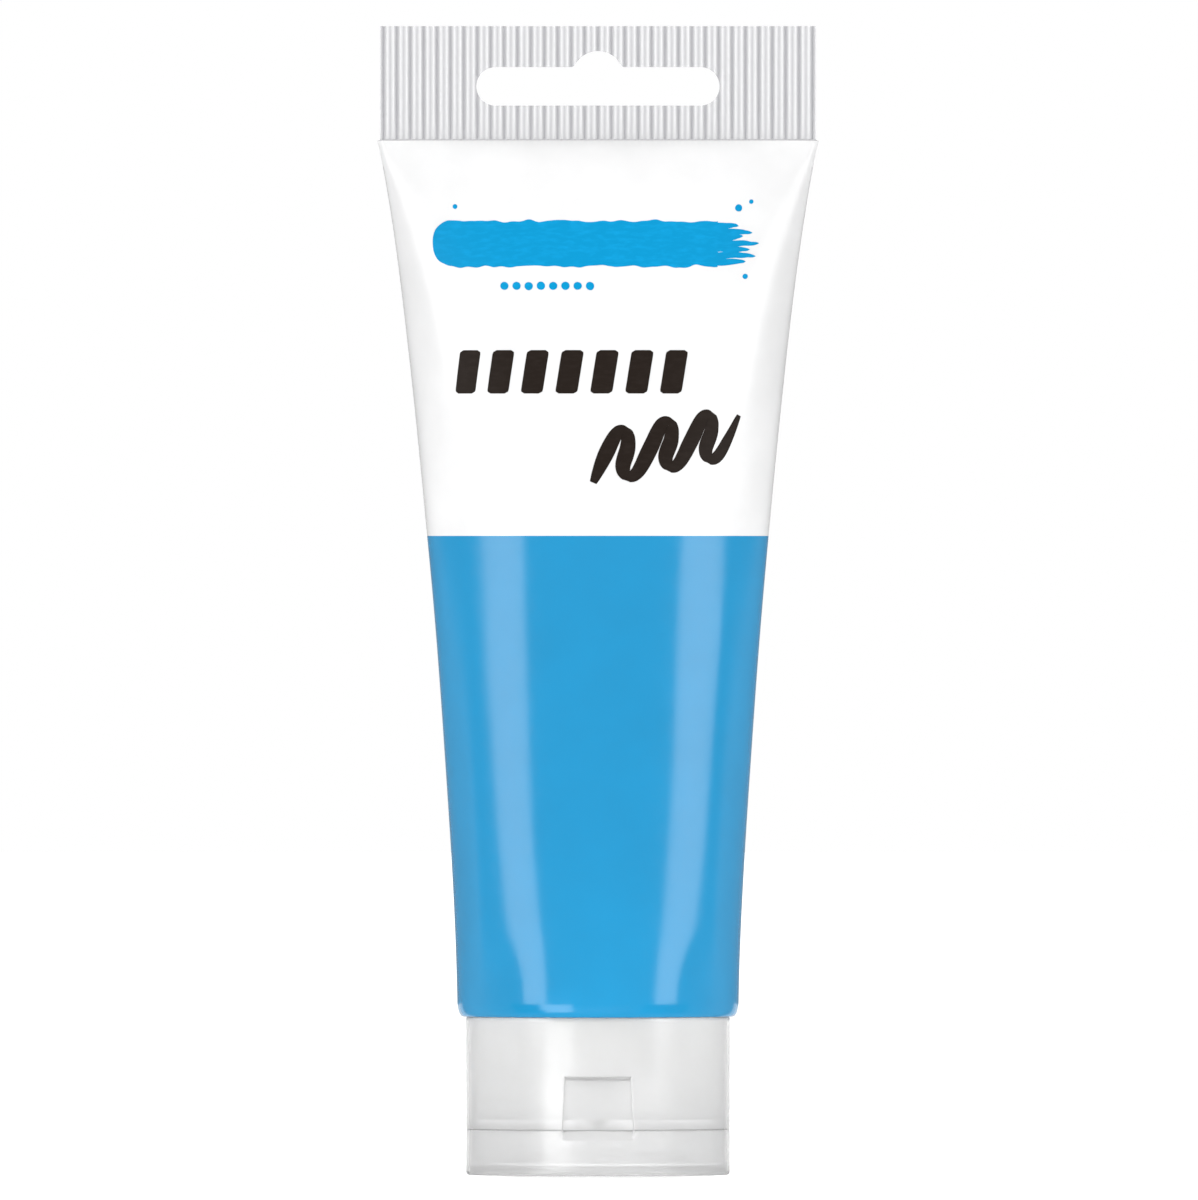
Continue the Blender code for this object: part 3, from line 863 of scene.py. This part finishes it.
def paint_groove_shade(material):
    """Painted shade: darken the film's colour in the grooves near its middle plane, where shade
    falls between the ribs.
    """
    tree = material.node_tree
    mix = next(n for n in tree.nodes if n.type == "MIX")
    place = next(n for n in tree.nodes if n.type == "TEX_COORD").outputs["Object"]
    parts = tree.nodes.new("ShaderNodeSeparateXYZ")
    tree.links.new(place, parts.inputs["Vector"])
    away = tree.nodes.new("ShaderNodeMath")
    away.operation = "ABSOLUTE"
    tree.links.new(parts.outputs["Y"], away.inputs[0])
    # Painted shade mask: full deep in the grooves, none on the crests
    fall = map_range(tree, away.outputs["Value"], 0.00022, 0.00050, 1.0, 0.0)
    # The colour of the painted groove shade
    mix.inputs["B"].default_value = (0.335, 0.335, 0.348, 1.0)
    tree.links.new(fall.outputs["Result"], mix.inputs["Factor"])


def make_materials():
    """Every material, by name."""
    found = {}

    def film(name, colour, roughness, gloss):
        shader = Shader(name, colour, roughness, Specular_IOR_Level=gloss)
        shader.tint(shader.map(shader.noise(160, 4), 0.35, 0.65, 0.0, 1.0),
                    tuple(c * 0.96 for c in colour))
        shader.feed("Roughness", shader.map(shader.noise(900, 2), 0.3, 0.7,
                                            roughness - 0.02, roughness + 0.03))
        shader.bump(shader.noise(1300, 2), 0.000006, 0.4)
        found[name] = shader.material

    film("film_blue", (0.001, 0.188, 0.378), 0.15, 0.36)
    film("film_white", (0.585, 0.585, 0.587), 0.22, 0.4)
    film("film_seal", (0.525, 0.525, 0.532), 0.22, 0.4)
    # Painted shade in the seal's rib grooves
    paint_groove_shade(found["film_seal"])

    def ink(name, colour):
        shader = Shader(name, colour, 0.42, Specular_IOR_Level=0.06)
        shader.tint(shader.map(shader.noise(700, 5, (1.0, 1.0, 3.0)), 0.45, 0.75, 0.0, 1.0),
                    tuple(c * 1.15 + 0.002 for c in colour))
        shader.bump(shader.noise(3000, 3), 0.000006, 0.5)
        found[name] = shader.material

    ink("ink_blue", (0.0005, 0.200, 0.400))
    ink("ink_dark", (0.012, 0.008, 0.006))

    cap = Shader("cap_plastic", (0.835, 0.835, 0.835), 0.22, IOR=1.49, Transmission_Weight=0.62)
    cap.tint(cap.map(cap.noise(240, 3, (1.0, 1.0, 0.25)), 0.3, 0.7, 0.0, 1.0), (0.82, 0.82, 0.82))
    cap.feed("Roughness", cap.map(cap.noise(260, 2), 0.3, 0.7, 0.19, 0.25))
    found["cap_plastic"] = cap.material

    neck = Shader("neck_plastic", (0.88, 0.88, 0.62), 0.40)
    neck.tint(neck.map(neck.noise(350, 3), 0.35, 0.65, 0.0, 1.0), (0.84, 0.84, 0.56))
    neck.bump(neck.noise(1500, 3), 0.000010, 0.5)
    found["neck_plastic"] = neck.material

    foil = Shader("foil", (0.75, 0.75, 0.76), 0.28, Metallic=1.0)
    foil.tint(foil.map(foil.noise(1200, 4), 0.4, 0.7, 0.0, 1.0), (0.62, 0.62, 0.64))
    foil.bump(foil.noise(2400, 4), 0.00002, 0.6)
    found["foil"] = foil.material

    paint = Shader("paint", (0.01, 0.20, 0.46), 0.22, Coat_Weight=0.3)
    paint.tint(paint.map(paint.noise(120, 4), 0.4, 0.65, 0.0, 1.0), (0.02, 0.28, 0.58))
    paint.bump(paint.noise(260, 3), 0.0002, 0.5)
    found["paint"] = paint.material

    floor = Shader("pale_floor", (0.80, 0.80, 0.80), 0.9, Emission_Strength=0.65,
                   Emission_Color=(1.0, 1.0, 1.0, 1.0))
    floor.tint(floor.map(floor.noise(6, 3), 0.3, 0.7, 0.0, 1.0), (0.82, 0.82, 0.82))
    found["floor"] = floor.material
    return found


# ---------------------------------------------------------------- the model

materials = make_materials()


def finish_piece(obj, body, slot, *names):
    """Give a piece its materials, and its body unless it is blended between two; the slot is not
    used.
    """
    for name in names:
        obj.data.materials.append(materials[name])
    if body:
        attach(obj, body)
    return obj


sleeve = finish_piece(make_sleeve(), "tube", "sleeve_film", "film_blue", "film_white")
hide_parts("sleeve")
seal = finish_piece(make_seal(), "tube", "seal_film", "film_seal")
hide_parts("sleeve")
for printed, ink_name in make_prints():
    finish_piece(printed, "tube", "print_ink", ink_name)
neck = finish_piece(make_neck(), "tube", "neck_plastic", "neck_plastic")
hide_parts("shoulder")
foil_disc = finish_piece(make_foil(), "cap_turner", "foil", "foil")
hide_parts("foil_seal")
cap_shell = finish_piece(make_cap(), "cap", "cap_plastic", "cap_plastic")
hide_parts("cap_base")
cap_lid = finish_piece(make_lid(), "lid", "cap_plastic", "cap_plastic")
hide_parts("lid")

WEBS = [("hinge_web", "hinge_film", -0.0030, 0.0030, 0.0007, HINGE_Y, 0.00025),
        ("snap_strap_left", "spring_strap_left", -0.0067, -0.0047, 0.0019, 0.01645, 0.0003),
        ("snap_strap_right", "spring_strap_right", 0.0047, 0.0067, 0.0019, 0.01645, 0.0003)]
for web_name, node, x_low, x_high, reach, bulge, thickness in WEBS:
    web = finish_piece(make_web(web_name, x_low, x_high, reach, bulge, thickness), None,
                       "cap_plastic", "cap_plastic")
    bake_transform(web)
    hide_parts(node)

paint = finish_piece(make_paint(), "tube", "paint", "paint")
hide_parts("paint_fill")


# ---------------------------------------------------------------- floor, light and camera

def make_floor():
    """A plain pale floor just under the tube."""
    size, z = 8.0, -0.0003
    verts = [(-size, -size, z), (size, -size, z), (size, size, z), (-size, size, z)]
    obj = make_object("floor", verts, [(0, 1, 2, 3)])
    obj.data.materials.append(materials["floor"])
    obj.visible_glossy = False


def soft_box(name, azimuths, heights, radiance, distance=0.8, unseen_by=()):
    """A softly glowing panel, curved round the object; azimuth 0 is in front, at -Y."""
    across, up = 8, 12
    verts = []
    for z in spread(*heights, up):
        for degrees in spread(*azimuths, across):
            a = math.radians(degrees)
            verts.append((distance * math.sin(a), -distance * math.cos(a), z))
    faces = [(r * (across + 1) + c, r * (across + 1) + c + 1,
              (r + 1) * (across + 1) + c + 1, (r + 1) * (across + 1) + c)
             for r in range(up) for c in range(across)]
    obj = make_object(name, verts, faces)
    material = bpy.data.materials.new(name)
    material.use_nodes = True
    tree = material.node_tree
    tree.nodes.clear()
    glow = tree.nodes.new("ShaderNodeEmission")
    glow.inputs["Strength"].default_value = radiance
    output = tree.nodes.new("ShaderNodeOutputMaterial")
    tree.links.new(glow.outputs["Emission"], output.inputs["Surface"])
    obj.data.materials.append(material)
    obj.visible_camera = False
    for ray in unseen_by:
        setattr(obj, "visible_" + ray, False)


def make_world():
    """A white room that is darker behind the object, and plain white where the camera looks."""
    world = bpy.data.worlds.new("white_room")
    world.use_nodes = True
    tree = world.node_tree
    background = tree.nodes["Background"]
    coordinates = tree.nodes.new("ShaderNodeTexCoord")
    parts = tree.nodes.new("ShaderNodeSeparateXYZ")
    tree.links.new(coordinates.outputs["Generated"], parts.inputs["Vector"])
    fall = map_range(tree, parts.outputs["Y"], 0.30, 0.92, ROOM_LIGHT, BACK_LIGHT)
    fall.interpolation_type = "SMOOTHSTEP"
    ray = tree.nodes.new("ShaderNodeLightPath")
    pick = tree.nodes.new("ShaderNodeMix")
    pick.inputs["B"].default_value = 1.0
    tree.links.new(ray.outputs["Is Camera Ray"], pick.inputs["Factor"])
    tree.links.new(fall.outputs["Result"], pick.inputs["A"])
    tree.links.new(pick.outputs["Result"], background.inputs["Strength"])
    background.inputs["Color"].default_value = (1.0, 1.0, 1.0, 1.0)
    bpy.context.scene.world = world


def make_lights():
    """Two tall soft boxes in a white room, and small cards and flags close to the object."""
    soft_box("soft_box_left", (-42.6, -62.6), (-0.3, 1.3), 5.6)
    soft_box("soft_box_right", (47.0, 66.5), (-0.3, 1.3), 5.6)
    # Cards round the cap that only its polish shows
    for name, azimuths, radiance in (("card_strip", (-17.5, -38.5), 5.6),
                                     ("card_left", (-39.5, -62.0), 0.42),
                                     ("card_right", (30.0, 66.0), 0.55),
                                     ("card_rim_left", (-128.0, -156.0), 1.0),
                                     ("card_rim_right", (128.0, 156.0), 1.0)):
        soft_box(name, azimuths, (-0.0002, 0.0200), radiance, 0.045, ("transmission", "diffuse"))
    matt_only = ("transmission", "glossy")
    # Grey flags beside the white film, which shade its edges
    for name, azimuths in (("flag_left", (-66.0, -112.0)), ("flag_right", (66.0, 112.0))):
        soft_box(name, azimuths, (0.081, 0.1275), 0.72, 0.055, matt_only)
    soft_box("card_front", (-14.0, 20.0), (-0.0002, 0.0170), 3.8, 0.042, matt_only)
    soft_box("back_fill", (157.0, 203.0), (0.0, 0.8), 3.0, unseen_by=matt_only)


def make_camera():
    """A long lens at the height of the tube's middle, so that its edges run true."""
    data = bpy.data.cameras.new("camera")
    data.lens = 1500.0
    data.sensor_width = 36.0
    data.clip_end = 50.0
    camera = bpy.data.objects.new("camera", data)
    bpy.context.scene.collection.objects.link(camera)
    frame_height = 0.149466
    camera.location = (0.000125, -frame_height * data.lens / data.sensor_width, 0.07162)
    camera.rotation_euler = (math.radians(90), 0, 0)
    bpy.context.scene.camera = camera


make_floor()
make_lights()
make_world()
make_camera()
bpy.context.scene.view_settings.view_transform = "Standard"
